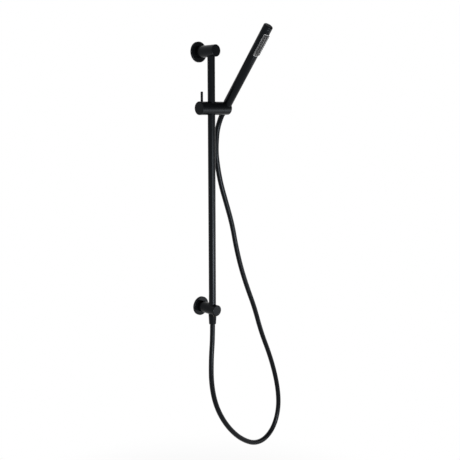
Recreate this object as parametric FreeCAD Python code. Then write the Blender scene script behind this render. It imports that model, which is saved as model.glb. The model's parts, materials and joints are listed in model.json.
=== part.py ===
import FreeCAD, Part
import math
import os
from FreeCAD import Vector

# Shower slide rail with a pencil handset, its sliding holder, the hose and a lower bracket that feeds the hose.
# The wall is the plane y = 0 and the object stands in front of it, towards -Y.
# +X runs along the wall and +Z is up.
# The origin is the middle of the water inlet's mouth, on the wall.

# Driving dimensions in millimetres, angles in degrees
RAIL_DIAMETER = 20.0
RAIL_WALL = 1.5
BRACKET_SPACING = 700.0      # between the axes of the two posts
RAIL_REACH = 51.5            # wall to rail axis
RAIL_SOCKET = 18.5           # how far the rail enters the upper post
RAIL_FOOT = 8.5              # how far the rail enters the lower post

POST_DIAMETER = 31.0
POST_NOSE = 19.5             # from the rail axis to the post's front end
POST_EDGE = 1.6
FLANGE_DIAMETER = 53.5
FLANGE_DEPTH = 6.0
FLANGE_WALL = 2.0
FLANGE_EDGE = 1.2

BOSS_DIAMETER = 40.0
STUB_DIAMETER = 16.0
STUB_LENGTH = 22.0
WALL_SCREW_HOLE = 5.5
SCREW_HEAD_HOLE = 11.0
SCREW_SEAT = 4.0             # metal under the wall screw's head
GRUB_DIAMETER = 5.0
GRUB_LENGTH = 6.0
GRUB_SOCKET = 2.5            # across the flats of the key
GRUB_FROM_PLATE = 12.0       # from the boss plate to the screw that grips the stub

INLET_DIAMETER = 18.63       # inside a half inch pipe thread
INLET_DEPTH = 14.0
SEAL_THICKNESS = 2.0
INLET_UNDERCUT = 21.0        # relief at the end of the inlet's thread, which holds the seal
WATERWAY = 9.0
COLLAR_DIAMETER = 22.6       # neck under the lower post, as wide as the hose nut
COLLAR_DROP = 16.5           # from the post's axis to the neck's face
OUTLET_THREAD = 20.8         # half inch pipe thread, outside
OUTLET_SHANK = 17.0
OUTLET_SHANK_LENGTH = 8.5
OUTLET_THREAD_LENGTH = 10.5

HOSE_DIAMETER = 14.5
LOWER_NUT_LENGTH = 26.0
LOWER_NUT_END = 19.8
NUT_CHAMFER = 1.4
NUT_GAP = 0.3                # from the lower nut's top to the neck
FERRULE_WALL = 0.7
FERRULE_FLANGE = 18.4
FERRULE_PLATE = 2.0
FERRULE_BORE = 8.0
LOWER_FERRULE_LENGTH = 13.0
UPPER_FERRULE_LENGTH = 14.0

SLIDER_DIAMETER = 35.0
SLIDER_HEIGHT = 553.5        # lower post's axis to slider's axis
SLIDER_EDGE = 1.8
SEAM_EDGE = 0.4              # broken edge on each side of the slider's two joints
KNOB_END = 44.4              # rail axis to the knob's outer face
KNOB_SEAM = 23.2             # rail axis to the joint between knob and slider
KNOB_GAP = 0.6
HOLDER_SEAM = 32.0           # rail axis to the joint between slider and holder
HOLDER_END = 60.2
HOLDER_GAP = 0.3
LINER_WALL = 1.45
LINER_HALF_HEIGHT = 13.0
LINER_SPLIT = 1.5
LINER_RIB = 0.8              # how far the liner's keying rib stands out
LINER_RIB_HEIGHT = 4.0
SPINDLE_DIAMETER = 10.0
PAD_THICKNESS = 3.2
PAD_GAP = 0.4                # from the released pad to the liner
LEVER_DIAMETER = 6.6
LEVER_OFFSET = 33.8          # rail axis to lever
LEVER_RISE = 25.0            # above the slider's top
LEVER_ROOT = 8.0             # depth of the lever's hole
LEVER_EDGE = 1.2
TILT_SHAFT = 12.0
TILT_SHAFT_LENGTH = 15.5
TILT_BORE_FLOOR = 0.3
KEEPER_DIAMETER = 4.0
KEEPER_GROOVE_WIDTH = 3.4
KEEPER_GROOVE_DEPTH = 1.5
KEEPER_FROM_END = 4.0        # shaft's end to the groove's middle
KEEPER_CLEARANCE = 0.3
KEEPER_SINK = 1.0            # below the slider's lowest line
FRICTION_RING_SECTION = 1.4
FRICTION_RING_FROM_SEAM = 4.0

HANDSET_OFFSET = 50.0        # rail axis to handset axis
HANDSET_LEAN = 37.8          # forwards from upright
HANDSET_DIAMETER = 25.0
HANDSET_WALL = 1.5
HANDSET_TIP = 253.8          # slider axis to the handset's tip
HANDSET_LIFT = 0.3           # from the holder's top to the lower rim of the handset
GRIP_EDGE = 0.5              # round on the grip's lower rim
TIP_EDGE = 3.0
TIP_CAP_LENGTH = 6.5
TIP_PLUG_LENGTH = 6.0
CORE_WALL = 2.6
INLET_PLUG_LENGTH = 10.0
INLET_STUB_LENGTH = 8.0
INLET_BORE = 12.0

SEAT_TOP_DIAMETER = 24.4     # conical seat where it leaves the holder
SEAT_BOTTOM_DIAMETER = 18.4
HOSE_SLOT = 16.0             # gap in the seat that lets the hose out
UPPER_NUT_LENGTH = 37.8
UPPER_NUT_TOP_GAP = 0.2
UPPER_NUT_CHAMFER = 0.5

STRIP_START = 172.0          # slider axis to the spray strip's lower end
STRIP_LENGTH = 62.5
STRIP_HALF_ANGLE = 51.0
STRIP_PROUD = 0.4
NOZZLE_ROWS = 21
NOZZLES_PER_ROW = 4          # in a full row, one less in the rows between
NOZZLE_SPREAD = 40.5         # half angle of a full row
NOZZLE_BASE = 2.3
NOZZLE_MOUTH = 1.5
NOZZLE_HEIGHT = 2.3
NOZZLE_ROOT = 0.6
STRIP_MARGIN = 4.2           # from the strip's end to its first row

FIXED_CLEARANCE = 0.05       # radial, between pieces that are screwed or pushed together
RUNNING_CLEARANCE = 0.06     # radial, between pieces that slide or turn

# The hose's free points between its two straight ends, from the handset round the loop to the lower bracket
HOSE_POINTS = [
    (45, -19, 443), (56, -15, 392), (69, -15, 341), (89.5, -15.5, 286), (113, -15, 223), (128, -16, 155),
    (147, -18, 88), (168, -24, 24), (193, -31, -42), (215, -38, -122), (251, -46, -211), (274, -54, -298),
    (279, -60, -368), (266, -63, -418), (238, -67, -450), (198, -70, -465), (154, -73, -458), (112, -75, -434),
    (68, -75, -397), (26, -72, -344), (-4, -67, -282), (-15, -61, -214), (-10, -56, -142),
]
HOSE_NECK = 47.0             # slider axis to the point where the hose starts to bend
HOSE_RISER = 50.0            # straight hose below the lower ferrule
ARC_SHARE = 0.45             # of the shorter run, used by each bend

# Values that follow from the sizes above
RAIL_RADIUS = RAIL_DIAMETER / 2
POST_RADIUS = POST_DIAMETER / 2
POST_FRONT = RAIL_REACH + POST_NOSE
BOSS_PLATE = FLANGE_DEPTH - FLANGE_WALL
SLIDER_RADIUS = SLIDER_DIAMETER / 2
LINER_INNER = RAIL_DIAMETER + 2 * RUNNING_CLEARANCE
LINER_OUTER = LINER_INNER + 2 * LINER_WALL
LINER_BORE = LINER_OUTER + 2 * RUNNING_CLEARANCE
RAIL_TOP = BRACKET_SPACING - POST_RADIUS + RAIL_SOCKET
RAIL_BOTTOM = POST_RADIUS - RAIL_FOOT
HANDSET_RADIUS = HANDSET_DIAMETER / 2
HANDSET_INNER = HANDSET_DIAMETER - 2 * HANDSET_WALL
HANDSET_BASE = SLIDER_RADIUS + HANDSET_LIFT
CORE_OUTER = HANDSET_INNER - 2 * FIXED_CLEARANCE
FERRULE_SLEEVE = HOSE_DIAMETER + 2 * FIXED_CLEARANCE + 2 * FERRULE_WALL
NUT_HOSE_BORE = FERRULE_SLEEVE + 2 * FIXED_CLEARANCE
SEAT_TAPER = (SEAT_TOP_DIAMETER - SEAT_BOTTOM_DIAMETER) / 2 / SLIDER_DIAMETER

X_AXIS = Vector(1, 0, 0)
Y_AXIS = Vector(0, 1, 0)
Z_AXIS = Vector(0, 0, 1)
ORIGIN = Vector(0, 0, 0)
SLIDER_CENTRE = Vector(0, -RAIL_REACH, SLIDER_HEIGHT)
HANDSET_FOOT = SLIDER_CENTRE + X_AXIS * HANDSET_OFFSET


def rod(diameter, start, end):
    """Plain cylinder between two points on its axis."""
    axis = end - start
    return Part.makeCylinder(diameter / 2, axis.Length, start, axis)


def tube(outer, inner, start, end):
    """Cylinder with a bore right through it."""
    return rod(outer, start, end).cut(rod(inner, start, end))


def turned(profile):
    """Solid of revolution about Z from a closed outline of (diameter, height) corners."""
    corners = [Vector(diameter / 2, 0, height) for diameter, height in profile]
    outline = Part.makePolygon(corners + corners[:1])
    return Part.Face(outline).revolve(ORIGIN, Z_AXIS, 360)


def rounded_rims(shape, radius, centres):
    """Round the circular edges that are centred on the given points."""
    rims = []
    for edge in shape.Edges:
        if isinstance(edge.Curve, Part.Circle):
            if any(edge.Curve.Center.distanceToPoint(centre) < 1e-4 for centre in centres):
                rims.append(edge)
    return shape.makeFillet(radius, rims)


def lean(shape):
    """Carry a piece that was made upright about Z to the leaning handset's place in the holder."""
    placed = shape.copy()
    placed.rotate(ORIGIN, X_AXIS, HANDSET_LEAN)
    placed.translate(HANDSET_FOOT)
    return placed


def on_handset_axis(height):
    """Point on the handset's axis, measured from the slider's axis towards the tip."""
    angle = math.radians(HANDSET_LEAN)
    return HANDSET_FOOT + Vector(0, -math.sin(angle), math.cos(angle)) * height


def seat_diameter(height):
    """Width of the conical seat at a height on the handset's axis."""
    middle = (SEAT_TOP_DIAMETER + SEAT_BOTTOM_DIAMETER) / 2
    return middle + 2 * SEAT_TAPER * height


def flange(height):
    """Turned cover that slides on the post and hides what fixes it to the wall."""
    wall = Vector(0, 0, height)
    front = wall - Y_AXIS * FLANGE_DEPTH
    hollow_end = wall - Y_AXIS * BOSS_PLATE
    cover = rounded_rims(rod(FLANGE_DIAMETER, wall, front), FLANGE_EDGE, [front])
    hollow = rod(FLANGE_DIAMETER - 2 * FLANGE_WALL, wall, hollow_end)
    bore = rod(POST_DIAMETER + 2 * FIXED_CLEARANCE, wall, front)
    return cover.cut(hollow).cut(bore)


def post(height, back):
    """Round bar that stands out from the wall, with a rounded front end."""
    start = Vector(0, -back, height)
    front = Vector(0, -POST_FRONT, height)
    return rounded_rims(rod(POST_DIAMETER, start, front), POST_EDGE, [front])


def rail_point(height):
    return Vector(0, -RAIL_REACH, height)


def rail_tube():
    return tube(RAIL_DIAMETER, RAIL_DIAMETER - 2 * RAIL_WALL, rail_point(RAIL_BOTTOM), rail_point(RAIL_TOP))


# Upper bracket

def upper_wall_boss():
    """Round plate that one screw holds on the wall, with a stub for the post."""
    wall = Vector(0, 0, BRACKET_SPACING)
    plate_front = wall - Y_AXIS * BOSS_PLATE
    stub_front = plate_front - Y_AXIS * STUB_LENGTH
    body = rod(BOSS_DIAMETER, wall, plate_front).fuse(rod(STUB_DIAMETER, wall, stub_front))
    body = body.cut(rod(WALL_SCREW_HOLE, wall, stub_front))
    return body.cut(rod(SCREW_HEAD_HOLE, wall - Y_AXIS * SCREW_SEAT, stub_front)).removeSplitter()


def stub_grub_centre():
    return Vector(0, -BOSS_PLATE - GRUB_FROM_PLATE, BRACKET_SPACING)


def stub_bore_floor():
    return BOSS_PLATE + STUB_LENGTH + 2 * FIXED_CLEARANCE


def upper_post():
    """Solid post with a socket for the rail below, a bore for the stub behind and two grub screw holes."""
    body = post(BRACKET_SPACING, BOSS_PLATE)
    axis = Vector(0, 0, BRACKET_SPACING)
    floor = axis - Y_AXIS * stub_bore_floor()
    stub_bore = rod(STUB_DIAMETER + 2 * FIXED_CLEARANCE, axis - Y_AXIS * BOSS_PLATE, floor)
    socket_top = rail_point(RAIL_TOP + FIXED_CLEARANCE)
    below = rail_point(BRACKET_SPACING - POST_DIAMETER)
    rail_bore = rod(RAIL_DIAMETER + 2 * FIXED_CLEARANCE, below, socket_top)
    centre = stub_grub_centre()
    stub_thread = rod(GRUB_DIAMETER, centre - Z_AXIS * POST_DIAMETER, centre)
    rail_thread = rod(GRUB_DIAMETER, floor, Vector(0, -RAIL_REACH, BRACKET_SPACING))
    return body.cut(stub_bore).cut(rail_bore).cut(stub_thread).cut(rail_thread)


def grub_screw(tip, outwards):
    """Set screw with a hexagon socket, from its flat tip outwards."""
    end = tip + outwards * GRUB_LENGTH
    body = rod(GRUB_DIAMETER - 2 * FIXED_CLEARANCE, tip, end)
    side = outwards.cross(X_AXIS)
    corners = []
    for step in range(7):
        angle = math.radians(60 * step)
        spoke = X_AXIS * math.cos(angle) + side * math.sin(angle)
        corners.append(end + spoke * (GRUB_SOCKET / math.sqrt(3)))
    socket = Part.Face(Part.makePolygon(corners)).extrude(outwards * (-GRUB_LENGTH / 2))
    return body.cut(socket)


def upper_grub_screws():
    """Two alike: one grips the stub from below, the other grips the rail from inside the stub's bore."""
    below_stub = stub_grub_centre() - Z_AXIS * (STUB_DIAMETER / 2)
    behind_rail = Vector(0, -RAIL_REACH + RAIL_RADIUS, BRACKET_SPACING)
    return Part.makeCompound([grub_screw(below_stub, -Z_AXIS), grub_screw(behind_rail, Y_AXIS)])


# Lower bracket, which carries water from the wall to the hose

def seal_floor():
    return INLET_DEPTH + SEAL_THICKNESS


def outlet_shoulder():
    return -COLLAR_DROP


def outlet_end():
    return outlet_shoulder() - OUTLET_THREAD_LENGTH


def lower_post():
    """Post with a threaded water inlet behind, a socket for the rail on top and a threaded outlet under it."""
    body = post(0, 0).fuse(rod(COLLAR_DIAMETER, rail_point(outlet_shoulder()), rail_point(0)))
    inlet = rod(INLET_DIAMETER, ORIGIN, -Y_AXIS * INLET_DEPTH)
    undercut = rod(INLET_UNDERCUT, -Y_AXIS * INLET_DEPTH, -Y_AXIS * seal_floor())
    channel = rod(WATERWAY, ORIGIN, rail_point(0))
    drop = rod(WATERWAY, rail_point(0), rail_point(outlet_shoulder()))
    shoulder = outlet_shoulder()
    thread = rod(OUTLET_SHANK, rail_point(shoulder), rail_point(shoulder + OUTLET_SHANK_LENGTH))
    socket_floor = rail_point(RAIL_BOTTOM - FIXED_CLEARANCE)
    socket = rod(RAIL_DIAMETER + 2 * FIXED_CLEARANCE, socket_floor, rail_point(POST_DIAMETER))
    return body.cut([inlet, undercut, channel, drop, thread, socket]).removeSplitter()


def inlet_seal():
    """Flat ring in the relief behind the inlet's thread."""
    return tube(INLET_UNDERCUT - 2 * FIXED_CLEARANCE, WATERWAY, -Y_AXIS * INLET_DEPTH, -Y_AXIS * seal_floor())


def outlet_nipple():
    """Screwed into the neck: a shank above and the hose's thread below."""
    shoulder = outlet_shoulder()
    shank_top = rail_point(shoulder + OUTLET_SHANK_LENGTH)
    shank = rod(OUTLET_SHANK - 2 * FIXED_CLEARANCE, rail_point(shoulder), shank_top)
    thread = rod(OUTLET_THREAD, rail_point(outlet_end()), rail_point(shoulder))
    bore = rod(WATERWAY, rail_point(outlet_end()), shank_top)
    return shank.fuse(thread).cut(bore).removeSplitter()


def lower_hose_washer():
    end = outlet_end()
    return tube(FERRULE_FLANGE, FERRULE_BORE, rail_point(end), rail_point(end - SEAL_THICKNESS))


def ferrule_face():
    return outlet_end() - SEAL_THICKNESS


def hose_end_height():
    return ferrule_face() - FERRULE_PLATE


def lower_hose_nut():
    """Round union nut that narrows towards the hose."""
    top = outlet_shoulder() - NUT_GAP
    bottom = top - LOWER_NUT_LENGTH
    thread = OUTLET_THREAD + 2 * FIXED_CLEARANCE
    ledge = hose_end_height()
    nut = turned([
        (thread, top), (COLLAR_DIAMETER, top), (LOWER_NUT_END, bottom + NUT_CHAMFER),
        (LOWER_NUT_END - 2 * NUT_CHAMFER, bottom), (NUT_HOSE_BORE, bottom), (NUT_HOSE_BORE, ledge),
        (thread, ledge),
    ])
    nut.translate(rail_point(0))
    return nut


def ferrule(length):
    """Flanged end crimped round the hose, upright with the flange's face at height zero, hose below."""
    return turned([
        (FERRULE_BORE, 0), (FERRULE_FLANGE, 0), (FERRULE_FLANGE, -FERRULE_PLATE),
        (FERRULE_SLEEVE, -FERRULE_PLATE), (FERRULE_SLEEVE, -length),
        (HOSE_DIAMETER + 2 * FIXED_CLEARANCE, -length),
        (HOSE_DIAMETER + 2 * FIXED_CLEARANCE, -FERRULE_PLATE), (FERRULE_BORE, -FERRULE_PLATE),
    ])


def lower_ferrule():
    """The hose leaves it downwards."""
    piece = ferrule(LOWER_FERRULE_LENGTH)
    piece.translate(rail_point(ferrule_face()))
    return piece


# Slider, in the order it is put on the rail

def upright_rod(diameter, length):
    """Cylinder along the rail, centred on the slider."""
    half = Z_AXIS * (length / 2)
    return rod(diameter, SLIDER_CENTRE - half, SLIDER_CENTRE + half)


def slider_liner():
    """Split plastic sleeve that slides on the rail and turns in the slider, keyed by a rib."""
    sleeve = upright_rod(LINER_OUTER, 2 * LINER_HALF_HEIGHT)
    sleeve = sleeve.fuse(upright_rod(LINER_OUTER + 2 * LINER_RIB, LINER_RIB_HEIGHT))
    sleeve = sleeve.cut(upright_rod(LINER_INNER, 2 * LINER_HALF_HEIGHT))
    corner = SLIDER_CENTRE + Vector(-LINER_SPLIT / 2, 0, -LINER_HALF_HEIGHT)
    split = Part.makeBox(LINER_SPLIT, LINER_OUTER, 2 * LINER_HALF_HEIGHT, corner)
    return sleeve.cut(split).removeSplitter()


def pad_face():
    return LINER_OUTER / 2 + LINER_RIB + PAD_GAP


def pad_back():
    return pad_face() + PAD_THICKNESS


def along_slider(offset):
    return SLIDER_CENTRE + X_AXIS * offset


def shaft_end():
    return HOLDER_SEAM + HOLDER_GAP - TILT_SHAFT_LENGTH


def keeper_place():
    return along_slider(shaft_end() + KEEPER_FROM_END)


def slider_body():
    """Round bar across the rail, bored for the liner, the clamp's spindle and the holder's shaft."""
    knob_side = along_slider(-KNOB_SEAM)
    holder_side = along_slider(HOLDER_SEAM)
    body = rounded_rims(rod(SLIDER_DIAMETER, knob_side, holder_side), SEAM_EDGE, [knob_side, holder_side])
    body = body.cut(upright_rod(LINER_BORE, 2 * SLIDER_DIAMETER))
    body = body.cut(upright_rod(LINER_BORE + 2 * LINER_RIB, LINER_RIB_HEIGHT + 2 * RUNNING_CLEARANCE))
    body = body.cut(rod(SPINDLE_DIAMETER, knob_side, SLIDER_CENTRE))
    shaft_floor = along_slider(shaft_end() - TILT_BORE_FLOOR)
    body = body.cut(rod(TILT_SHAFT + 2 * RUNNING_CLEARANCE, shaft_floor, holder_side))
    return body.cut(rod(KEEPER_DIAMETER, keeper_place() - Z_AXIS * SLIDER_DIAMETER, keeper_place()))


def brake_pad():
    """Plug between the spindle and the liner, hollowed to the liner's rib."""
    pad = rod(SPINDLE_DIAMETER - 4 * RUNNING_CLEARANCE, along_slider(-pad_back()), SLIDER_CENTRE)
    hollow = 2 * pad_face()
    return pad.cut(upright_rod(hollow, 2 * SLIDER_DIAMETER))


def lock_knob():
    """Turned cap with a threaded spindle and a hole for the lever."""
    outer = along_slider(-KNOB_END)
    seam = along_slider(-KNOB_SEAM - KNOB_GAP)
    cap = rounded_rims(rod(SLIDER_DIAMETER, outer, seam), SLIDER_EDGE, [outer])
    cap = rounded_rims(cap, SEAM_EDGE, [seam])
    spindle_root = along_slider(-LEVER_OFFSET)
    spindle = rod(SPINDLE_DIAMETER - 2 * RUNNING_CLEARANCE, spindle_root, along_slider(-pad_back()))
    top = along_slider(-LEVER_OFFSET) + Z_AXIS * SLIDER_RADIUS
    return cap.fuse(spindle).cut(rod(LEVER_DIAMETER, top - Z_AXIS * LEVER_ROOT, top + Z_AXIS * LEVER_ROOT))


def lock_lever():
    """Short round pin screwed into the knob."""
    top = along_slider(-LEVER_OFFSET) + Z_AXIS * SLIDER_RADIUS
    tip = top + Z_AXIS * LEVER_RISE
    pin = rod(LEVER_DIAMETER - 2 * FIXED_CLEARANCE, top - Z_AXIS * LEVER_ROOT, tip)
    return rounded_rims(pin, LEVER_EDGE, [tip])


def ring_groove_place():
    return HOLDER_SEAM - FRICTION_RING_FROM_SEAM


def holder_head():
    """Tilting end: a grooved shaft, a conical seat for the hose nut and a slot that lets the hose out."""
    seam = Vector(HOLDER_SEAM + HOLDER_GAP - HANDSET_OFFSET, 0, 0)
    end = Vector(HOLDER_END - HANDSET_OFFSET, 0, 0)
    shaft = Vector(shaft_end() - HANDSET_OFFSET, 0, 0)
    head = rounded_rims(rod(SLIDER_DIAMETER, seam, end), SLIDER_EDGE, [end])
    head = rounded_rims(head, SEAM_EDGE, [seam])
    head = head.fuse(rod(TILT_SHAFT, shaft, seam))
    groove = X_AXIS * (KEEPER_GROOVE_WIDTH / 2)
    middle = shaft + X_AXIS * KEEPER_FROM_END
    groove_floor = TILT_SHAFT - 2 * KEEPER_GROOVE_DEPTH
    head = head.cut(tube(SLIDER_DIAMETER, groove_floor, middle - groove, middle + groove))
    ring_width = X_AXIS * (FRICTION_RING_SECTION / 2 + FIXED_CLEARANCE)
    ring_place = Vector(ring_groove_place() - HANDSET_OFFSET, 0, 0)
    ring_floor = TILT_SHAFT - 2 * FRICTION_RING_SECTION
    head = head.cut(tube(SLIDER_DIAMETER, ring_floor, ring_place - ring_width, ring_place + ring_width))
    bottom = seat_diameter(-SLIDER_DIAMETER) / 2
    top = seat_diameter(SLIDER_DIAMETER) / 2
    seat = Part.makeCone(bottom, top, 2 * SLIDER_DIAMETER, -Z_AXIS * SLIDER_DIAMETER)
    corner = Vector(0, -HOSE_SLOT / 2, -SLIDER_DIAMETER)
    slot = Part.makeBox(SLIDER_DIAMETER, HOSE_SLOT, 2 * SLIDER_DIAMETER, corner)
    return lean(head.cut(seat).cut(slot))


def friction_ring():
    """Rubber ring in the shaft's groove that keeps the holder where it is tilted."""
    middle = TILT_SHAFT / 2 - FRICTION_RING_SECTION / 2
    return Part.makeTorus(middle, FRICTION_RING_SECTION / 2, along_slider(ring_groove_place()), X_AXIS)


def shaft_keeper():
    """Grub screw in the slider whose tip runs in the shaft's groove."""
    tip = keeper_place() - Z_AXIS * (TILT_SHAFT / 2 - KEEPER_GROOVE_DEPTH + KEEPER_CLEARANCE)
    foot = keeper_place() - Z_AXIS * (SLIDER_RADIUS - KEEPER_SINK)
    neck = keeper_place() - Z_AXIS * (TILT_SHAFT / 2 + KEEPER_CLEARANCE)
    point = rod(KEEPER_GROOVE_WIDTH - 2 * KEEPER_CLEARANCE, neck, tip)
    return rod(KEEPER_DIAMETER - 2 * FIXED_CLEARANCE, foot, neck).fuse(point).removeSplitter()


# Handset, made upright about Z with its spray strip towards -Y, then leaned into the holder

def strip_sector(inner, outer, start, length, half_angle):
    """Part of a ring that faces the spray side."""
    wedge = Part.makeCylinder(outer / 2, length, Z_AXIS * start, Z_AXIS, 2 * half_angle)
    wedge.rotate(ORIGIN, Z_AXIS, -90 - half_angle)
    return wedge.cut(rod(inner, Z_AXIS * start, Z_AXIS * (start + length)))


def cap_seam():
    return HANDSET_TIP - TIP_CAP_LENGTH


def handset_tube():
    """Straight pencil grip with a window for the spray strip."""
    foot = Z_AXIS * HANDSET_BASE
    grip = rounded_rims(rod(HANDSET_DIAMETER, foot, Z_AXIS * cap_seam()), GRIP_EDGE, [foot])
    grip = grip.cut(rod(HANDSET_INNER, foot, Z_AXIS * cap_seam()))
    window = strip_sector(HANDSET_INNER / 2, 2 * HANDSET_DIAMETER, STRIP_START, STRIP_LENGTH, STRIP_HALF_ANGLE)
    return lean(grip.cut(window))


def handset_tip_cap():
    """Rounded end pushed into the tube."""
    tip = Z_AXIS * HANDSET_TIP
    seam = Z_AXIS * cap_seam()
    cap = rounded_rims(rod(HANDSET_DIAMETER, seam, tip), TIP_EDGE, [tip])
    plug = rod(CORE_OUTER, seam - Z_AXIS * TIP_PLUG_LENGTH, seam)
    return lean(cap.fuse(plug).removeSplitter())


def spray_core():
    """Plastic water channel inside the grip, which backs the spray strip."""
    low = Z_AXIS * (HANDSET_BASE + INLET_PLUG_LENGTH)
    high = Z_AXIS * (cap_seam() - TIP_PLUG_LENGTH)
    return lean(tube(CORE_OUTER, CORE_OUTER - 2 * CORE_WALL, low, high))


def nozzle():
    """One tapered nozzle standing on the strip, upright along Z with its root sunk in the strip."""
    return Part.makeCone(NOZZLE_BASE / 2, NOZZLE_MOUTH / 2, NOZZLE_ROOT + NOZZLE_HEIGHT)


def nozzle_mat():
    """Soft strip that fills the window and carries staggered rows of nozzles."""
    edge = math.degrees(2 * FIXED_CLEARANCE / HANDSET_RADIUS)
    length = STRIP_LENGTH - 4 * FIXED_CLEARANCE
    outer = HANDSET_DIAMETER + 2 * STRIP_PROUD
    start = STRIP_START + 2 * FIXED_CLEARANCE
    mat = strip_sector(HANDSET_INNER, outer, start, length, STRIP_HALF_ANGLE - edge)
    root = outer / 2 - NOZZLE_ROOT
    pitch = (STRIP_LENGTH - 2 * STRIP_MARGIN) / (NOZZLE_ROWS - 1)
    step = 2 * NOZZLE_SPREAD / (NOZZLES_PER_ROW - 1)
    nozzles = []
    for row in range(NOZZLE_ROWS):
        short = row % 2
        for place in range(NOZZLES_PER_ROW - short):
            angle = -NOZZLE_SPREAD + step * (place + short / 2)
            piece = nozzle()
            piece.translate(Z_AXIS * root)
            piece.rotate(ORIGIN, X_AXIS, 90)
            piece.rotate(ORIGIN, Z_AXIS, angle)
            piece.translate(Z_AXIS * (STRIP_START + STRIP_MARGIN + pitch * row))
            nozzles.append(piece)
    return lean(mat.fuse(nozzles))


def handset_inlet():
    """Plug in the grip's lower end with the thread for the hose nut."""
    stub_end = HANDSET_BASE - INLET_STUB_LENGTH
    plug_top = HANDSET_BASE + INLET_PLUG_LENGTH
    return lean(turned([
        (INLET_BORE, stub_end), (OUTLET_THREAD, stub_end), (OUTLET_THREAD, HANDSET_BASE),
        (CORE_OUTER, HANDSET_BASE), (CORE_OUTER, plug_top), (INLET_BORE, plug_top),
    ]))


def upper_washer_face():
    return HANDSET_BASE - INLET_STUB_LENGTH


def upper_ferrule_face():
    return upper_washer_face() - SEAL_THICKNESS


def hose_start_height():
    return upper_ferrule_face() - FERRULE_PLATE


def upper_hose_washer():
    return lean(tube(FERRULE_FLANGE, FERRULE_BORE, Z_AXIS * upper_ferrule_face(), Z_AXIS * upper_washer_face()))


def upper_ferrule():
    piece = ferrule(UPPER_FERRULE_LENGTH)
    piece.translate(Z_AXIS * upper_ferrule_face())
    return lean(piece)


def upper_hose_nut():
    """Conical union nut, whose outside fits the holder's seat."""
    top = HANDSET_BASE - UPPER_NUT_TOP_GAP
    bottom = top - UPPER_NUT_LENGTH
    thread = OUTLET_THREAD + 2 * FIXED_CLEARANCE
    ledge = hose_start_height()
    gap = 2 * FIXED_CLEARANCE
    end = seat_diameter(bottom) - gap
    return lean(turned([
        (thread, top), (seat_diameter(top) - gap, top), (end, bottom + UPPER_NUT_CHAMFER),
        (end - 2 * UPPER_NUT_CHAMFER, bottom), (NUT_HOSE_BORE, bottom), (NUT_HOSE_BORE, ledge), (thread, ledge),
    ]))


# Hose

def hose_route():
    """Corner points of the hose from the handset's ferrule to the lower ferrule."""
    upper = [on_handset_axis(hose_start_height()), on_handset_axis(-HOSE_NECK)]
    free = [Vector(*point) for point in HOSE_POINTS]
    end = rail_point(hose_end_height())
    return upper + free + [end - Z_AXIS * HOSE_RISER, end]


def hose_path(points):
    """Straight runs joined by tangent arcs, each as large as its two runs allow."""
    edges = []
    last = points[0]
    radii = []
    for before, corner, after in zip(points, points[1:], points[2:]):
        back = before - corner
        ahead = after - corner
        half_turn = (math.pi - back.getAngle(ahead)) / 2
        setback = ARC_SHARE * min(back.Length, ahead.Length)
        radii.append(setback / math.tan(half_turn))
        back.normalize()
        ahead.normalize()
        start = corner + back * setback
        end = corner + ahead * setback
        inward = back + ahead
        inward.normalize()
        middle = corner + inward * (radii[-1] / math.cos(half_turn) - radii[-1])
        edges.append(Part.LineSegment(last, start).toShape())
        edges.append(Part.Arc(start, middle, end).toShape())
        last = end
    edges.append(Part.LineSegment(last, points[-1]).toShape())
    return Part.Wire(edges), radii


def hose():
    points = hose_route()
    path, radii = hose_path(points)
    section = Part.Wire(Part.makeCircle(HOSE_DIAMETER / 2, points[0], points[1] - points[0]))
    solid = path.makePipeShell([section], True, True)
    expected = path.Length * math.pi * HOSE_DIAMETER ** 2 / 4
    print("hose length %.0f, smallest bend radius %.1f, volume / (section x length) %.4f"
          % (path.Length, min(radii), solid.Volume / expected))
    return solid


PIECES = {
    "rail_tube": rail_tube,
    "upper_wall_boss": upper_wall_boss,
    "upper_post": upper_post,
    "upper_flange": lambda: flange(BRACKET_SPACING),
    "upper_grub_screws": upper_grub_screws,
    "lower_post": lower_post,
    "lower_flange": lambda: flange(0),
    "inlet_seal": inlet_seal,
    "outlet_nipple": outlet_nipple,
    "lower_hose_washer": lower_hose_washer,
    "lower_ferrule": lower_ferrule,
    "lower_hose_nut": lower_hose_nut,
    "slider_liner": slider_liner,
    "slider_body": slider_body,
    "brake_pad": brake_pad,
    "lock_knob": lock_knob,
    "lock_lever": lock_lever,
    "holder_head": holder_head,
    "friction_ring": friction_ring,
    "shaft_keeper": shaft_keeper,
    "handset_tube": handset_tube,
    "handset_tip_cap": handset_tip_cap,
    "spray_core": spray_core,
    "nozzle_mat": nozzle_mat,
    "handset_inlet": handset_inlet,
    "upper_hose_washer": upper_hose_washer,
    "upper_ferrule": upper_ferrule,
    "upper_hose_nut": upper_hose_nut,
    "hose": hose,
}

os.makedirs("parts", exist_ok=True)
for name, make in PIECES.items():
    shape = make()
    shape.exportStep("parts/" + name + ".step")
    print(name, "valid", shape.isValid(), "solids", len(shape.Solids), "volume %.0f" % shape.Volume)
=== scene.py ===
import json
import math

import bmesh
import bpy
from mathutils import Matrix, Vector


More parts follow.
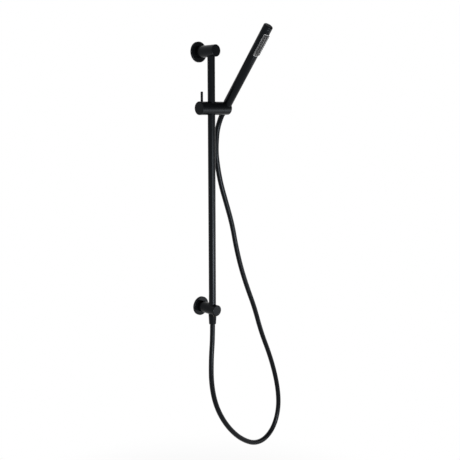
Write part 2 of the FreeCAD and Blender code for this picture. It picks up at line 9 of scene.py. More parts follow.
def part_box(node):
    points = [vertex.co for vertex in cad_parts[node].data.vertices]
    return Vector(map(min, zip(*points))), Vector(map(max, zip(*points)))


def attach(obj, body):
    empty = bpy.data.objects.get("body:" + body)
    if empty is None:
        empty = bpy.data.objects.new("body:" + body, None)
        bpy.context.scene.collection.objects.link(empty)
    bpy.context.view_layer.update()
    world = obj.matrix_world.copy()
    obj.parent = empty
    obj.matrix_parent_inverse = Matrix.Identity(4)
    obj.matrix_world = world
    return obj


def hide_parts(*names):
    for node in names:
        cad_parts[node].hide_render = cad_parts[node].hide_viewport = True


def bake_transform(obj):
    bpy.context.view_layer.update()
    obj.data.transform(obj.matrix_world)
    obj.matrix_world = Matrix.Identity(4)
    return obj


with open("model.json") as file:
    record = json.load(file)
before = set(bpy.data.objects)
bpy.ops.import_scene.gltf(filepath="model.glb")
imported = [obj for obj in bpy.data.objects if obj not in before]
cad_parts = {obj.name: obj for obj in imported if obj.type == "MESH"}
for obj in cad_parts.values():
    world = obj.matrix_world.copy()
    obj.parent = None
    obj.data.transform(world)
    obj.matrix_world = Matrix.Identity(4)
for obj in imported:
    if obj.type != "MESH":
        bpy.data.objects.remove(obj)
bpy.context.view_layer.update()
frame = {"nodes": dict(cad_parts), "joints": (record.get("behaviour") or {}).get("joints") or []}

# Rail: a drawn tube, cut square and deburred at both ends, then sprayed satin black all over.
# Its ends sit in the two posts, and a set screw grips it in the upper one.
RAIL_WALL = 0.0015
RAIL_DEBURR = 0.0003
RAIL_ROUGHNESS = 0.20
TURNING_STEPS = 128
TURNED_CREASE = 30            # degrees between two faces, past which their edge looks sharp
COAT_BLACK = (0.0024, 0.0027, 0.0032, 1)
COAT_BLACK_THICK = (0.0034, 0.0037, 0.0043, 1)
COAT_TINT = (0.80, 0.90, 1.0, 1)
COAT_SHEEN = 0.097
COAT_CLOUDS = 28.0            # patches to the metre
COAT_GRAIN = 1900.0
COAT_GLOSS_CHANGE = 0.03      # by which the roughness wanders, each way
COAT_PEEL_STRENGTH = 0.05
COAT_PEEL_HEIGHT = 0.00003
NOISE_LOW = 0.3               # nearly all of a noise lies between these two values
NOISE_HIGH = 0.7


def set_inputs(tree, node, inputs):
    """Set a node's inputs, or link them to other nodes' outputs."""
    for key, value in inputs.items():
        if isinstance(value, bpy.types.NodeSocket):
            tree.links.new(value, node.inputs[key])
        else:
            node.inputs[key].default_value = value


def add_node(tree, kind, inputs=None, **settings):
    """Add a node with its own settings and its inputs."""
    node = tree.nodes.new(kind)
    for name, value in settings.items():
        setattr(node, name, value)
    set_inputs(tree, node, inputs or {})
    return node


def new_material(name):
    """Empty node material with its main shader and the coordinates of the piece itself."""
    material = bpy.data.materials.new(name)
    material.use_nodes = True
    tree = material.node_tree
    place = add_node(tree, "ShaderNodeTexCoord").outputs["Object"]
    return material, tree, tree.nodes["Principled BSDF"], place


def noise(tree, place, scale, detail):
    """Cloudy pattern with the given number of patches to the metre."""
    pattern = add_node(tree, "ShaderNodeTexNoise", {"Vector": place, "Scale": scale, "Detail": detail})
    return pattern.outputs["Fac"]


def spread(tree, value, low, high):
    """Stretch a noise, which stays near its middle, over the range from low to high."""
    ends = {"Value": value, "From Min": NOISE_LOW, "From Max": NOISE_HIGH, "To Min": low, "To Max": high}
    return add_node(tree, "ShaderNodeMapRange", ends).outputs["Result"]


def raised(tree, height, strength, distance):
    """Surface that rises by the given distance where the pattern is one."""
    bump = add_node(tree, "ShaderNodeBump", {"Height": height, "Strength": strength, "Distance": distance})
    return bump.outputs["Normal"]


def blend_colours(tree, factor, first, second):
    """Mix two colours. Inputs 6 and 7 of a mix node take colours, and its output 2 gives one."""
    mix = add_node(tree, "ShaderNodeMix", {"Factor": factor, 6: first, 7: second}, data_type="RGBA")
    return mix.outputs[2]


def satin_coat(name, roughness):
    """Sprayed satin black: a fine orange peel, and gloss that wanders a little over a few centimetres."""
    material, tree, shader, place = new_material(name)
    clouds = noise(tree, place, COAT_CLOUDS, detail=3.0)
    grain = noise(tree, place, COAT_GRAIN, detail=2.0)
    set_inputs(tree, shader, {
        "Base Color": blend_colours(tree, clouds, COAT_BLACK, COAT_BLACK_THICK),
        "Roughness": spread(tree, clouds, roughness - COAT_GLOSS_CHANGE, roughness + COAT_GLOSS_CHANGE),
        "Normal": raised(tree, grain, COAT_PEEL_STRENGTH, COAT_PEEL_HEIGHT),
        "Specular Tint": COAT_TINT,
        "Specular IOR Level": COAT_SHEEN,
    })
    return material


def place_mesh(name, mesh, material):
    """Put a mesh into the scene as a piece of one material."""
    piece = bpy.data.objects.new(name, mesh)
    bpy.context.scene.collection.objects.link(piece)
    mesh.materials.clear()
    mesh.materials.append(material)
    return piece


def mesh_from(form, name):
    """Keep an edited form as a mesh."""
    mesh = bpy.data.meshes.new(name)
    form.to_mesh(mesh)
    form.free()
    return mesh


def smooth(mesh, crease_degrees):
    """Round shading, with a crease wherever two faces meet at more than the given angle."""
    mesh.polygons.foreach_set("use_smooth", [True] * len(mesh.polygons))
    mesh.set_sharp_from_angle(angle=math.radians(crease_degrees))


def turned_ring(name, outline):
    """Hollow piece of revolution about Z from a closed outline of (radius, height) corners."""
    form = bmesh.new()
    rows = []
    for step in range(TURNING_STEPS):
        angle = 2 * math.pi * step / TURNING_STEPS
        rows.append([form.verts.new((r * math.cos(angle), r * math.sin(angle), z)) for r, z in outline])
    for row, after in zip(rows, rows[1:] + rows[:1]):
        for corner in range(len(outline)):
            follower = (corner + 1) % len(outline)
            form.faces.new((row[corner], after[corner], after[follower], row[follower]))
    bmesh.ops.recalc_face_normals(form, faces=form.faces)
    mesh = mesh_from(form, name)
    smooth(mesh, TURNED_CREASE)
    return mesh


rail_low, rail_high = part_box("rail_tube")
rail_axis = Vector(((rail_low.x + rail_high.x) / 2, (rail_low.y + rail_high.y) / 2, 0))
rail_radius = (rail_high.x - rail_low.x) / 2
rail_bore = rail_radius - RAIL_WALL
rail_mesh = turned_ring("rail", [
    (rail_bore, rail_low.z),
    (rail_radius - RAIL_DEBURR, rail_low.z),
    (rail_radius, rail_low.z + RAIL_DEBURR),
    (rail_radius, rail_high.z - RAIL_DEBURR),
    (rail_radius - RAIL_DEBURR, rail_high.z),
    (rail_bore, rail_high.z),
])
rail_mesh.transform(Matrix.Translation(rail_axis))
rail = place_mesh("rail", rail_mesh, satin_coat("rail_satin_black", RAIL_ROUGHNESS))
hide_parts("rail_tube")
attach(rail, "rail")

# Posts and flanges: turned brass in the same satin black, with a small round on every front edge.
# The flanges are covers that slide along the posts and hide what is screwed to the wall.
COAT_ROUGHNESS = 0.22


def finish_nodes(material, *names):
    """Give pieces of the frame their finish."""
    for name in names:
        slots = frame["nodes"][name].data.materials
        slots.clear()
        slots.append(material)


bracket_coat = satin_coat("bracket_satin_black", COAT_ROUGHNESS)
finish_nodes(bracket_coat, "upper_post", "lower_post", "upper_flange", "lower_flange")

# Wall boss, outlet nipple and handset inlet: bare turned brass, hidden once the shower is fitted.
# The tool leaves fine marks on them, and they dull in patches.
BRASS = (0.58, 0.42, 0.19, 1)
BRASS_DULL = (0.40, 0.28, 0.13, 1)
BRASS_ROUGHNESS = (0.26, 0.40)
BRASS_STAINS = 160.0
TOOL_MARKS = 5200.0
TOOL_MARK_STRENGTH = 0.15
TOOL_MARK_DEPTH = 0.00004


def turned_brass():
    material, tree, shader, place = new_material("turned_brass")
    stains = noise(tree, place, BRASS_STAINS, detail=4.0)
    marks = noise(tree, place, TOOL_MARKS, detail=1.0)
    set_inputs(tree, shader, {
        "Base Color": blend_colours(tree, stains, BRASS, BRASS_DULL),
        "Roughness": spread(tree, stains, *BRASS_ROUGHNESS),
        "Normal": raised(tree, marks, TOOL_MARK_STRENGTH, TOOL_MARK_DEPTH),
        "Metallic": 1.0,
    })
    return material


finish_nodes(turned_brass(), "upper_wall_boss", "outlet_nipple", "handset_inlet")

# Set screws and the holder's keeper: short steel screws, blackened so that they have a dry dark skin.
# The set screws clamp the upper post to the rail and to the boss's stub.
# The keeper is screwed into the slider, and its tip runs in a groove of the holder's shaft.
STEEL = (0.20, 0.20, 0.21, 1)
STEEL_DARK = (0.09, 0.09, 0.10, 1)
STEEL_ROUGHNESS = (0.34, 0.5)
STEEL_SKIN = 700.0


def blackened_steel():
    material, tree, shader, place = new_material("blackened_steel")
    skin = noise(tree, place, STEEL_SKIN, detail=5.0)
    set_inputs(tree, shader, {
        "Base Color": blend_colours(tree, skin, STEEL, STEEL_DARK),
        "Roughness": spread(tree, skin, *STEEL_ROUGHNESS),
        "Metallic": 1.0,
    })
    return material


finish_nodes(blackened_steel(), "upper_grub_screws", "shaft_keeper")

# Seals, washers and friction ring: black rubber, moulded, matt and a little dusty.
# The seals are squeezed where water passes a joint, and the ring brakes the holder's shaft in the slider.
RUBBER = (0.016, 0.016, 0.017, 1)
RUBBER_DUSTY = (0.030, 0.030, 0.031, 1)
RUBBER_ROUGHNESS = (0.62, 0.8)
RUBBER_DUST = 420.0


def moulded_rubber():
    material, tree, shader, place = new_material("moulded_rubber")
    dust = noise(tree, place, RUBBER_DUST, detail=6.0)
    set_inputs(tree, shader, {
        "Base Color": blend_colours(tree, dust, RUBBER, RUBBER_DUSTY),
        "Roughness": spread(tree, dust, *RUBBER_ROUGHNESS),
    })
    return material


finish_nodes(moulded_rubber(), "inlet_seal", "lower_hose_washer", "upper_hose_washer", "friction_ring")

# Liner, brake pad and water core: natural nylon, moulded, slightly waxy.
# The split liner runs on the rail, the pad presses it there, and the core lies in the grip behind the strip.
NYLON = (0.74, 0.72, 0.66, 1)
NYLON_SHADE = (0.66, 0.64, 0.58, 1)
NYLON_ROUGHNESS = (0.42, 0.52)
NYLON_FLOW = 240.0


def moulded_nylon():
    material, tree, shader, place = new_material("moulded_nylon")
    flow = noise(tree, place, NYLON_FLOW, detail=3.0)
    set_inputs(tree, shader, {
        "Base Color": blend_colours(tree, flow, NYLON, NYLON_SHADE),
        "Roughness": spread(tree, flow, *NYLON_ROUGHNESS),
    })
    return material


finish_nodes(moulded_nylon(), "slider_liner", "brake_pad", "spray_core")

# Slider, lock knob, lever pin and tilting holder: turned metal in satin black, in line as one bar.
# The knob and the holder are separate turned ends, so a fine joint shows on each side of the rail.
slider_coat = satin_coat("slider_satin_black", COAT_ROUGHNESS)
finish_nodes(slider_coat, "slider_body", "lock_knob", "lock_lever", "holder_head")

# Handset grip: a satin black tube with a rounded cap pushed into its tip.
# A long window is cut in it for the spray strip, and the cut edges are eased before it is coated.
HANDSET_LEAN = math.radians(37.8)
GRIP_RADIUS = 0.0125
GRIP_WALL = 0.0015
GRIP_EASE = 0.0003
GRIP_FOOT = 0.0178
GRIP_SEAM = 0.2473
GRIP_COLUMN_TURN = 3          # degrees
GRIP_CREASE = 35
EASE_STEPS = 3
EASE_CORNER = 50              # degrees, from which an edge is eased
STRIP_START = 0.172
STRIP_LENGTH = 0.0625
STRIP_HALF_TURN = 51          # degrees round the grip, each way from the middle of the spray side

tilt_joint = next(joint for joint in frame["joints"] if joint["name"] == "holder_tilt")
handset_place = Matrix.Translation(tilt_joint["pos_m"]) @ Matrix.Rotation(HANDSET_LEAN, 4, "X")


def on_grip(radius, degrees, height):
    """Point round the upright handset, where zero degrees is the middle of the spray side."""
    angle = math.radians(degrees)
    return Vector((radius * math.sin(angle), -radius * math.cos(angle), height))


def apply_modifiers(piece):
    """Bake the piece's modifiers into a plain mesh."""
    depsgraph = bpy.context.evaluated_depsgraph_get()
    baked = bpy.data.meshes.new_from_object(piece.evaluated_get(depsgraph))
    piece.modifiers.clear()
    piece.data = baked
    return baked


def thick_piece(name, sheet, material, wall, eased):
    """Give a sheet of the upright handset its wall and its eased edges, and lean it into the holder."""
    piece = place_mesh(name, sheet, material)
    thick = piece.modifiers.new("wall", "SOLIDIFY")
    thick.thickness = wall
    thick.offset = -1
    thick.use_even_offset = True
    rounding = piece.modifiers.new("eased_edges", "BEVEL")
    rounding.width = eased
    rounding.segments = EASE_STEPS
    rounding.limit_method = "ANGLE"
    rounding.angle_limit = math.radians(EASE_CORNER)
    baked = apply_modifiers(piece)
    baked.transform(handset_place)
    smooth(baked, GRIP_CREASE)
    return piece


def grip_sheet(name):
    """Outside of the grip, left open at the window."""
    heights = [GRIP_FOOT, STRIP_START, STRIP_START + STRIP_LENGTH, GRIP_SEAM]
    turns = list(range(-180, 180, GRIP_COLUMN_TURN))
    form = bmesh.new()
    columns = [[form.verts.new(on_grip(GRIP_RADIUS, turn, height)) for height in heights] for turn in turns]
    for column, beside, turn in zip(columns, columns[1:] + columns[:1], turns):
        for row in range(len(heights) - 1):
            in_window = heights[row] == STRIP_START and -STRIP_HALF_TURN <= turn < STRIP_HALF_TURN
            if not in_window:
                form.faces.new((column[row], beside[row], beside[row + 1], column[row + 1]))
    loose = [corner for corner in form.verts if not corner.link_faces]
    bmesh.ops.delete(form, geom=loose, context="VERTS")
    return mesh_from(form, name)


handset_coat = satin_coat("handset_satin_black", COAT_ROUGHNESS)
finish_nodes(handset_coat, "handset_tip_cap")
grip = thick_piece("handset_grip", grip_sheet("handset_grip"), handset_coat, GRIP_WALL, GRIP_EASE)
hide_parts("handset_tube")
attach(grip, "holder")

# Spray strip: one soft silicone moulding that fills the window and bulges a little.
# A pale rim runs round a field sunk a little below it, and the field is painted dark as shade.
SILICONE = (0.235, 0.238, 0.240, 1)
SILICONE_PALE = (0.295, 0.298, 0.300, 1)
SILICONE_PAINTED_SHADE = (0.012, 0.012, 0.013, 1)
SILICONE_ROUGHNESS = (0.5, 0.62)
SILICONE_SHEEN = 0.2
SILICONE_BLOOM = 330.0
STRIP_PROUD = 0.0004
STRIP_GAP = 0.0001
STRIP_EASE = 0.00015
STRIP_EDGE_TURN = 0.5         # degrees of gap at each long edge
STRIP_RIM = 0.0016
STRIP_FIELD_TURN = 46         # degrees, each way
STRIP_FIELD_DEPTH = 0.0005
STRIP_COLUMN_TURN = 4

strip_radius = GRIP_RADIUS + STRIP_PROUD


def matt_silicone(name, painted_shade_radius, pale_radius):
    """Silicone painted dark as shade up to one distance from the grip's axis, which turns pale up to
    another.
    """
    material, tree, shader, place = new_material(name)
    foot = handset_place.translation
    axis = handset_place.to_3x3() @ Vector((0, 0, 1))
    from_foot = add_node(tree, "ShaderNodeVectorMath", {0: place, 1: foot}, operation="SUBTRACT")
    off_axis = add_node(tree, "ShaderNodeVectorMath", {
        0: from_foot.outputs["Vector"], 1: axis}, operation="CROSS_PRODUCT")
    radius = add_node(tree, "ShaderNodeVectorMath", {0: off_axis.outputs["Vector"]}, operation="LENGTH")
    height = add_node(tree, "ShaderNodeMapRange", {
        "Value": radius.outputs["Value"], "From Min": painted_shade_radius, "From Max": pale_radius})
    bloom = noise(tree, place, SILICONE_BLOOM, detail=4.0)
    pale = blend_colours(tree, bloom, SILICONE, SILICONE_PALE)
    set_inputs(tree, shader, {
        # Painted shade: the colour is dark close to the grip's axis, in the sunk field and at the nozzles'
        # feet.
        "Base Color": blend_colours(tree, height.outputs["Result"], SILICONE_PAINTED_SHADE, pale),
        "Roughness": spread(tree, bloom, *SILICONE_ROUGHNESS),
        "Specular IOR Level": SILICONE_SHEEN,
    })
    return material


def strip_sheet(name):
    """Outside of the strip: a rim all round and a field sunk inside it."""
    turns = [-STRIP_HALF_TURN + STRIP_EDGE_TURN, -STRIP_FIELD_TURN]
    turns += range(-STRIP_FIELD_TURN + STRIP_COLUMN_TURN, STRIP_FIELD_TURN, STRIP_COLUMN_TURN)
    turns += [STRIP_FIELD_TURN, STRIP_HALF_TURN - STRIP_EDGE_TURN]
    low = STRIP_START + STRIP_GAP
    high = STRIP_START + STRIP_LENGTH - STRIP_GAP
    field_low = low + STRIP_RIM
    heights = [low, field_low, high - STRIP_RIM, high]
    form = bmesh.new()
    columns = [[form.verts.new(on_grip(strip_radius, turn, height)) for height in heights] for turn in turns]
    field = []
    for column, beside, turn in zip(columns, columns[1:], turns):
        for row in range(len(heights) - 1):
            face = form.faces.new((column[row], beside[row], beside[row + 1], column[row + 1]))
            if heights[row] == field_low and -STRIP_FIELD_TURN <= turn < STRIP_FIELD_TURN:
                field.append(face)
    form.normal_update()
    bmesh.ops.inset_region(form, faces=field, thickness=STRIP_FIELD_DEPTH, depth=-STRIP_FIELD_DEPTH,
                           use_even_offset=True)
    return mesh_from(form, name)


# The sunk field is painted dark as shade.
strip_silicone = matt_silicone("strip_silicone", strip_radius - STRIP_FIELD_DEPTH, strip_radius)
strip = thick_piece("spray_strip", strip_sheet("spray_strip"), strip_silicone, GRIP_WALL, STRIP_EASE)
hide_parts("nozzle_mat")
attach(strip, "holder")

# Nozzles: short tapered tips that stand in staggered rows on the field, moulded in one with the strip.
# Each has its own small bore and a pale tip, and its foot is painted dark as shade between the nozzles.
NOZZLE_ROOT = 0.0007          # from the strip's rim down to a nozzle's foot, inside the strip
NOZZLE_SIZES = {
    "Rows": 21,
    "Columns": 4,
    "Row length": 0.0541,
    "Half turn": math.radians(40.5),
    "Wrap radius": strip_radius - NOZZLE_ROOT,
    "Base radius": 0.0013,
    "Mouth radius": 0.00085,
    "Height": 0.0030,
    "Bore radius": 0.0004,
    "Bore depth": 0.0012,
}
NOZZLE_SIDES = 16
NOZZLE_CREASE = 40
NOZZLE_PAINTED_SHADE_TOP = 0.0006     # above the strip's rim, where the painted shade on a nozzle's foot ends
NOZZLE_PALE_TIP = 0.0012      # above the strip's rim, where its pale tip begins
EDGE_ALLOWANCE = 1.01         # keeps a nozzle that stands right on the edge of the rows


def nozzle_tree():
    """Wrap a grid of points round the grip, stagger every other row, and stand a nozzle on each point."""
    tree = bpy.data.node_groups.new("spray_nozzles", "GeometryNodeTree")
    for name, value in NOZZLE_SIZES.items():
        kind = "NodeSocketInt" if isinstance(value, int) else "NodeSocketFloat"
        tree.interface.new_socket(name, in_out="INPUT", socket_type=kind)
    tree.interface.new_socket("Finish", in_out="INPUT", socket_type="NodeSocketMaterial")
    tree.interface.new_socket("Geometry", in_out="OUTPUT", socket_type="NodeSocketGeometry")
    size = tree.nodes.new("NodeGroupInput").outputs
    result = tree.nodes.new("NodeGroupOutput")

    def calculate(operation, first, second=0.0):
        return add_node(tree, "ShaderNodeMath", {0: first, 1: second}, operation=operation).outputs["Value"]

    def position():
        return add_node(tree, "GeometryNodeInputPosition").outputs["Position"]

    whole_turn = calculate("MULTIPLY", size["Half turn"], 2.0)
    grid = add_node(tree, "GeometryNodeMeshGrid", {
        "Size X": whole_turn, "Size Y": size["Row length"],
        "Vertices X": size["Columns"], "Vertices Y": size["Rows"]})
    flat = add_node(tree, "ShaderNodeSeparateXYZ", {"Vector": position()})
    pitch = calculate("DIVIDE", size["Row length"], calculate("SUBTRACT", size["Rows"], 1.0))
    from_end = calculate("ADD", flat.outputs["Y"], calculate("MULTIPLY", size["Row length"], 0.5))
    odd_row = calculate("MODULO", calculate("ROUND", calculate("DIVIDE", from_end, pitch)), 2.0)
    step = calculate("DIVIDE", whole_turn, calculate("SUBTRACT", size["Columns"], 1.0))
    shift = calculate("MULTIPLY", odd_row, calculate("MULTIPLY", step, 0.5))
    turn = calculate("ADD", flat.outputs["X"], shift)
    past_edge = calculate("GREATER_THAN", turn, calculate("MULTIPLY", size["Half turn"], EDGE_ALLOWANCE))
    staggered = add_node(tree, "GeometryNodeDeleteGeometry", {
        "Geometry": grid.outputs["Mesh"], "Selection": past_edge})
    forwards = calculate("MULTIPLY", size["Wrap radius"], calculate("COSINE", turn))
    wrapped_place = add_node(tree, "ShaderNodeCombineXYZ", {
        "X": calculate("MULTIPLY", size["Wrap radius"], calculate("SINE", turn)),
        "Y": calculate("MULTIPLY", forwards, -1.0),
        "Z": flat.outputs["Y"]})
    wrapped = add_node(tree, "GeometryNodeSetPosition", {
        "Geometry": staggered.outputs["Geometry"], "Position": wrapped_place.outputs["Vector"]})
    level = add_node(tree, "ShaderNodeVectorMath", {0: position(), 1: (1, 1, 0)}, operation="MULTIPLY")
    outwards = add_node(tree, "FunctionNodeAlignRotationToVector", {
        "Vector": level.outputs["Vector"]}, axis="Z")
    cone = add_node(tree, "GeometryNodeMeshCone", {
        "Vertices": NOZZLE_SIDES, "Radius Top": size["Mouth radius"], "Radius Bottom": size["Base radius"],
        "Depth": size["Height"]})
    drill = add_node(tree, "GeometryNodeMeshCylinder", {
        "Vertices": NOZZLE_SIDES, "Radius": size["Bore radius"],
        "Depth": calculate("MULTIPLY", size["Bore depth"], 2.0)})
    mouth = add_node(tree, "ShaderNodeCombineXYZ", {"Z": size["Height"]})
    lifted = add_node(tree, "GeometryNodeTransform", {
        "Geometry": drill.outputs["Mesh"], "Translation": mouth.outputs["Vector"]})
    bored = add_node(tree, "GeometryNodeMeshBoolean", {
        "Mesh 1": cone.outputs["Mesh"], "Mesh 2": lifted.outputs["Geometry"]}, operation="DIFFERENCE")
    standing = add_node(tree, "GeometryNodeInstanceOnPoints", {
        "Points": wrapped.outputs["Geometry"], "Instance": bored.outputs["Mesh"],
        "Rotation": outwards.outputs["Rotation"]})
    real = add_node(tree, "GeometryNodeRealizeInstances", {"Geometry": standing.outputs["Instances"]})
    finished = add_node(tree, "GeometryNodeSetMaterial", {
        "Geometry": real.outputs["Geometry"], "Material": size["Finish"]})
    tree.links.new(finished.outputs["Geometry"], result.inputs["Geometry"])
    return tree


# A nozzle's foot is painted dark as shade, and its tip is pale.
tip_silicone = matt_silicone("tip_silicone", strip_radius + NOZZLE_PAINTED_SHADE_TOP, strip_radius + NOZZLE_PALE_TIP)
nozzles = place_mesh("spray_nozzles", bpy.data.meshes.new("spray_nozzles"), tip_silicone)
growth = nozzles.modifiers.new("nozzles", "NODES")
growth.node_group = nozzle_tree()
for socket in growth.node_group.interface.items_tree:
    if socket.in_out == "INPUT":
        growth[socket.identifier] = NOZZLE_SIZES.get(socket.name, tip_silicone)
nozzle_mesh = apply_modifiers(nozzles)
nozzle_mesh.transform(handset_place @ Matrix.Translation((0, 0, STRIP_START + STRIP_LENGTH / 2)))
smooth(nozzle_mesh, NOZZLE_CREASE)
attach(nozzles, "holder")

# Hose nuts and ferrules: the conical nut rests in the holder, the lower one screws on the outlet.
# Both are turned and coated satin black, and the crimped ferrules inside are matt.
FERRULE_ROUGHNESS = 0.55

finish_nodes(satin_coat("nut_satin_black", COAT_ROUGHNESS), "upper_hose_nut", "lower_hose_nut")
finish_nodes(satin_coat("ferrule_matt_black", FERRULE_ROUGHNESS), "upper_ferrule", "lower_ferrule")

# Hose: smooth black plastic over a woven core, free between its two ferrules in one long loop.
# It is one hose in three lengths that meet end to end, so that each can bend with one joint.
HOSE_DIAMETER = 0.0145
HOSE_SIDES = 32
HOSE_CREASE = 60
HOSE_SPLINE_STEPS = 20
HOSE_BLACK = (0.0024, 0.0027, 0.0032, 1)
HOSE_BLACK_WORN = (0.0034, 0.0037, 0.0043, 1)
HOSE_ROUGHNESS = (0.19, 0.25)
HOSE_SHEEN = 0.085
HOSE_WEAR = 60.0
HOSE_LINES = (40.0, 6.0, 1.0)    # fine lines left by drawing: many round the hose, few along it
HOSE_LINE_STRENGTH = 0.1
HOSE_LINE_HEIGHT = 0.0001
HOSE_POINTS = [
    (0.050, -0.05506, 0.55808), (0.050, -0.02269, 0.51636),
    (0.045, -0.019, 0.443), (0.056, -0.015, 0.392), (0.069, -0.015, 0.341), (0.0895, -0.0155, 0.286),
    (0.113, -0.015, 0.223), (0.128, -0.016, 0.155), (0.147, -0.018, 0.088), (0.168, -0.024, 0.024),
    (0.193, -0.031, -0.042), (0.215, -0.038, -0.122), (0.251, -0.046, -0.211), (0.274, -0.054, -0.298),
    (0.279, -0.060, -0.368), (0.266, -0.063, -0.418), (0.238, -0.067, -0.450), (0.198, -0.070, -0.465),
    (0.154, -0.073, -0.458), (0.112, -0.075, -0.434), (0.068, -0.075, -0.397), (0.026, -0.072, -0.344),
    (-0.004, -0.067, -0.282), (-0.015, -0.061, -0.214), (-0.010, -0.056, -0.142),
    (0.0, -0.0515, -0.081), (0.0, -0.0515, -0.031),
]
GRIPPED_LENGTH = 0.030        # of hose inside the upper ferrule and nut, which turns with the holder
TILT_LENGTH = 0.180           # from the upper end to where the holder's tilt has died out
SWIVEL_LENGTH = 0.420         # from the upper end to where the slider's swing has died out
TURN_SOFT_END = 1 / 3         # share of a length over which a turn starts and dies out softly
SLIDE_SOFT_END = 0.1          # the same for the slide


def smooth_hose():
    material, tree, shader, place = new_material("smooth_hose")
    wear = noise(tree, place, HOSE_WEAR, detail=4.0)
    along = add_node(tree, "ShaderNodeUVMap", uv_map="along_hose")
    drawn = add_node(tree, "ShaderNodeMapping", {"Vector": along.outputs["UV"], "Scale": HOSE_LINES})
    lines = noise(tree, drawn.outputs["Vector"], scale=1.0, detail=2.0)
    set_inputs(tree, shader, {
        "Base Color": blend_colours(tree, wear, HOSE_BLACK, HOSE_BLACK_WORN),
        "Roughness": spread(tree, wear, *HOSE_ROUGHNESS),
        "Normal": raised(tree, lines, HOSE_LINE_STRENGTH, HOSE_LINE_HEIGHT),
        "Specular Tint": COAT_TINT,
        "Specular IOR Level": HOSE_SHEEN,
    })
    return material


def spline_points(points):
    """Points along the smooth curve that has the route's points as its control points."""
    curve = bpy.data.curves.new("hose_line", "CURVE")
    curve.dimensions = "3D"
    spline = curve.splines.new("NURBS")
    spline.points.add(len(points) - 1)
    for control, place in zip(spline.points, points):
        control.co = (*place, 1)
    spline.order_u = 3
    spline.use_endpoint_u = True
    spline.resolution_u = HOSE_SPLINE_STEPS
    drawn = bpy.data.objects.new("hose_line", curve)
    bpy.context.scene.collection.objects.link(drawn)
    bpy.context.view_layer.update()
    mesh = bpy.data.meshes.new_from_object(drawn)
    found = [corner.co.copy() for corner in mesh.vertices]
    bpy.data.objects.remove(drawn)
    bpy.data.meshes.remove(mesh)
    return found


def sections_along(points, radius):
    """Round sections square to the line, each turned from the last as little as the line allows."""
    sections = []
    side = Vector((1, 0, 0))
    angles = [2 * math.pi * step / HOSE_SIDES for step in range(HOSE_SIDES)]
    for index, point in enumerate(points):
        ahead = points[min(index + 1, len(points) - 1)] - points[max(index - 1, 0)]
        ahead.normalize()
        side = (side - ahead * side.dot(ahead)).normalized()
        across = ahead.cross(side)
        sections.append([point + (side * math.cos(a) + across * math.sin(a)) * radius for a in angles])
    return sections


def hose_tube(name, sections, lengths):
    """Closed tube through the sections, with a map that runs round it and along it."""
    form = bmesh.new()
    along_hose = form.loops.layers.uv.new("along_hose")
    rings = [[form.verts.new(place) for place in section] for section in sections]
    for index, (ring, after) in enumerate(zip(rings, rings[1:])):
        for step in range(HOSE_SIDES):
            beside = (step + 1) % HOSE_SIDES
            face = form.faces.new((ring[step], ring[beside], after[beside], after[step]))
            turns = (step, step + 1, step + 1, step)
            runs = (lengths[index], lengths[index], lengths[index + 1], lengths[index + 1])
            for loop, turn, run in zip(face.loops, turns, runs):
                loop[along_hose].uv = (turn / HOSE_SIDES, run)
    form.faces.new(rings[0])
    form.faces.new(rings[-1])
    bmesh.ops.recalc_face_normals(form, faces=form.faces)
    mesh = mesh_from(form, name)
    smooth(mesh, HOSE_CREASE)
    return mesh


def ease(share, soft_end):
    """Run from 0 to 1 at a steady rate, with a soft start and stop over the given share at each end."""
    share = min(max(share, 0.0), 1.0)
    rate = 1 / (1 - soft_end)
    if share < soft_end:
        return rate * share ** 2 / (2 * soft_end)
    if share > 1 - soft_end:
        return 1 - rate * (1 - share) ** 2 / (2 * soft_end)
    return rate * (share - soft_end / 2)


line = spline_points(HOSE_POINTS)
lengths = [0.0]
for point, after in zip(line, line[1:]):
    lengths.append(lengths[-1] + (after - point).length)
hose_length = lengths[-1]
sections = sections_along(line, HOSE_DIAMETER / 2)
hose_finish = smooth_hose()


def hose_piece(name, start, stop, still_at_top, soft_end):
    """One length of the hose between two distances along it; weights for its two ends are worked out but not
    used.
    """
    inside = [index for index, length in enumerate(lengths) if start <= length <= stop]
    first = max(inside[0] - 1, 0)
    last = inside[-1]
    piece = place_mesh(name, hose_tube(name, sections[first:last + 1], lengths[first:last + 1]), hose_finish)
    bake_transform(piece)
    top = lengths[first] + still_at_top
    weights = []
    for index in range(first, last + 1):
        weight = 1 - ease((lengths[index] - top) / (lengths[last] - top), soft_end)
        weights += [weight] * HOSE_SIDES
    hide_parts("hose")


hose_piece("hose_upper", 0.0, TILT_LENGTH, GRIPPED_LENGTH, TURN_SOFT_END)
hose_piece("hose_middle", TILT_LENGTH, SWIVEL_LENGTH, 0.0, TURN_SOFT_END)
hose_piece("hose_loop", SWIVEL_LENGTH, hose_length, 0.0, SLIDE_SOFT_END)

# Studio: a pale floor and plain white all round. The gloss shows the same white, and a dark ceiling in it.
# A soft panel with a brighter core stands in front of the object, and a weaker one to its right.
# They stand low, so the tops of the bars stay dark and their fronts catch a soft light.
FLOOR_HEIGHT = -1.1
FLOOR_SIZE = 60.0
FLOOR_ROUGHNESS = 0.9
FLOOR_FADE_START = 1.2        # metres from the origin, where the floor begins to fade to plain white
FLOOR_FADE_END = 1.75
FLOOR_WHITE_NEAR = 0.8
PALE = (0.86, 0.86, 0.86, 1)
WHITE = (1, 1, 1, 1)
ROOM_GREY = (0.22, 0.225, 0.235, 1)
DARK_CEILING = Vector((0.65, -0.35, 0.68)).normalized()    # towards the middle of the dark ceiling
DARK_CEILING_START = math.radians(32)
DARK_CEILING_END = math.radians(52)
DARK_CEILING_LEVEL = 0.1
CAMERA_PLACE = (-1.1654, -1.3147, 0.5499)
CAMERA_DOWN = 10.668          # degrees below level
CAMERA_TURN = -44.33          # degrees from straight at the wall
CAMERA_LENS = 50
CAMERA_SENSOR = 36


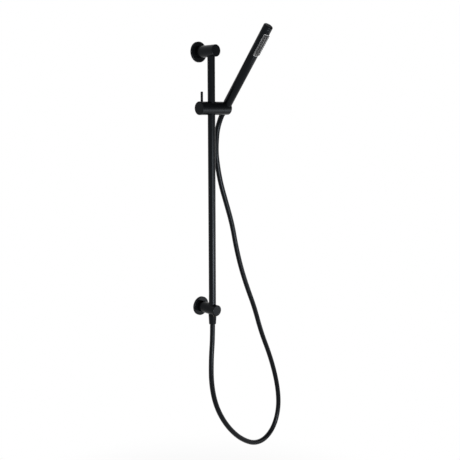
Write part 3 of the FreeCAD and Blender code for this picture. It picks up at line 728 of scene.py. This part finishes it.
def seen_rays(tree):
    """One for a ray that the camera sees, directly, in gloss or through glass, else zero."""
    rays = add_node(tree, "ShaderNodeLightPath").outputs
    total = rays["Is Camera Ray"]
    for kind in ("Is Glossy Ray", "Is Transmission Ray"):
        either = add_node(tree, "ShaderNodeMath", {0: total, 1: rays[kind]}, operation="MAXIMUM")
        total = either.outputs["Value"]
    return total


def pale_floor():
    """Pale floor that keeps shadows near the object and fades to plain white further out."""
    material, tree, shader, place = new_material("pale_floor")
    set_inputs(tree, shader, {"Base Color": PALE, "Roughness": FLOOR_ROUGHNESS})
    glow = add_node(tree, "ShaderNodeEmission", {"Color": WHITE, "Strength": 1.0})
    outwards = add_node(tree, "ShaderNodeVectorMath", {0: place}, operation="LENGTH")
    fade = add_node(tree, "ShaderNodeMapRange", {
        "Value": outwards.outputs["Value"], "From Min": FLOOR_FADE_START, "From Max": FLOOR_FADE_END,
        "To Min": FLOOR_WHITE_NEAR, "To Max": 1.0}, interpolation_type="SMOOTHSTEP")
    share = add_node(tree, "ShaderNodeMath", {
        0: seen_rays(tree), 1: fade.outputs["Result"]}, operation="MULTIPLY")
    mix = add_node(tree, "ShaderNodeMixShader", {
        0: share.outputs["Value"], 1: shader.outputs["BSDF"], 2: glow.outputs["Emission"]})
    tree.links.new(mix.outputs["Shader"], tree.nodes["Material Output"].inputs["Surface"])
    return material


floor_mesh = bpy.data.meshes.new("floor")
half = FLOOR_SIZE / 2
corners = [(x * half, y * half, FLOOR_HEIGHT) for x, y in ((-1, -1), (1, -1), (1, 1), (-1, 1))]
floor_mesh.from_pydata(corners, [], [(0, 1, 2, 3)])
floor = place_mesh("floor", floor_mesh, pale_floor())

world = bpy.data.worlds.new("studio")
bpy.context.scene.world = world
world.use_nodes = True
world_tree = world.node_tree
room = world_tree.nodes["Background"]
room.inputs["Color"].default_value = ROOM_GREY
direction = add_node(world_tree, "ShaderNodeTexCoord").outputs["Generated"]
near_dark = add_node(world_tree, "ShaderNodeVectorMath", {
    0: direction, 1: DARK_CEILING}, operation="DOT_PRODUCT")
brightness = add_node(world_tree, "ShaderNodeMapRange", {
    "Value": near_dark.outputs["Value"],
    "From Min": math.cos(DARK_CEILING_START), "From Max": math.cos(DARK_CEILING_END),
    "To Min": DARK_CEILING_LEVEL, "To Max": 1.0}, interpolation_type="SMOOTHSTEP")
camera_ray = add_node(world_tree, "ShaderNodeLightPath").outputs["Is Camera Ray"]
level = add_node(world_tree, "ShaderNodeMath", {
    0: brightness.outputs["Result"], 1: camera_ray}, operation="MAXIMUM")
backdrop = add_node(world_tree, "ShaderNodeBackground", {"Color": WHITE, "Strength": level.outputs["Value"]})
seen = add_node(world_tree, "ShaderNodeMixShader", {
    0: seen_rays(world_tree), 1: room.outputs["Background"], 2: backdrop.outputs["Background"]})
world_tree.links.new(seen.outputs["Shader"], world_tree.nodes["World Output"].inputs["Surface"])


def soft_panel(name, place, target, width, height, power):
    """Soft lamp that faces a point and that the camera doesn't see."""
    lamp = bpy.data.lights.new(name, "AREA")
    lamp.shape = "RECTANGLE"
    lamp.size = width
    lamp.size_y = height
    lamp.energy = power
    panel = bpy.data.objects.new(name, lamp)
    bpy.context.scene.collection.objects.link(panel)
    panel.location = place
    panel.rotation_euler = (Vector(target) - Vector(place)).to_track_quat("-Z", "Y").to_euler()
    panel.visible_camera = False


soft_panel("front_panel", place=(-0.20, -1.43, -0.02), target=(0.0, -0.05, 0.10),
           width=1.10, height=0.90, power=19.5)
soft_panel("front_core", place=(-0.08, -1.40, -0.20), target=(0.0, -0.05, 0.10),
           width=0.45, height=0.45, power=10.0)
soft_panel("right_panel", place=(1.15, -0.90, -0.15), target=(0.0, -0.05, 0.25),
           width=0.70, height=0.65, power=4.6)

camera_data = bpy.data.cameras.new("camera")
camera_data.lens = CAMERA_LENS
camera_data.sensor_width = CAMERA_SENSOR
camera = bpy.data.objects.new("camera", camera_data)
bpy.context.scene.collection.objects.link(camera)
camera.location = CAMERA_PLACE
camera.rotation_euler = (math.radians(90 - CAMERA_DOWN), 0, math.radians(CAMERA_TURN))
bpy.context.scene.camera = camera
bpy.context.scene.view_settings.view_transform = "Standard"
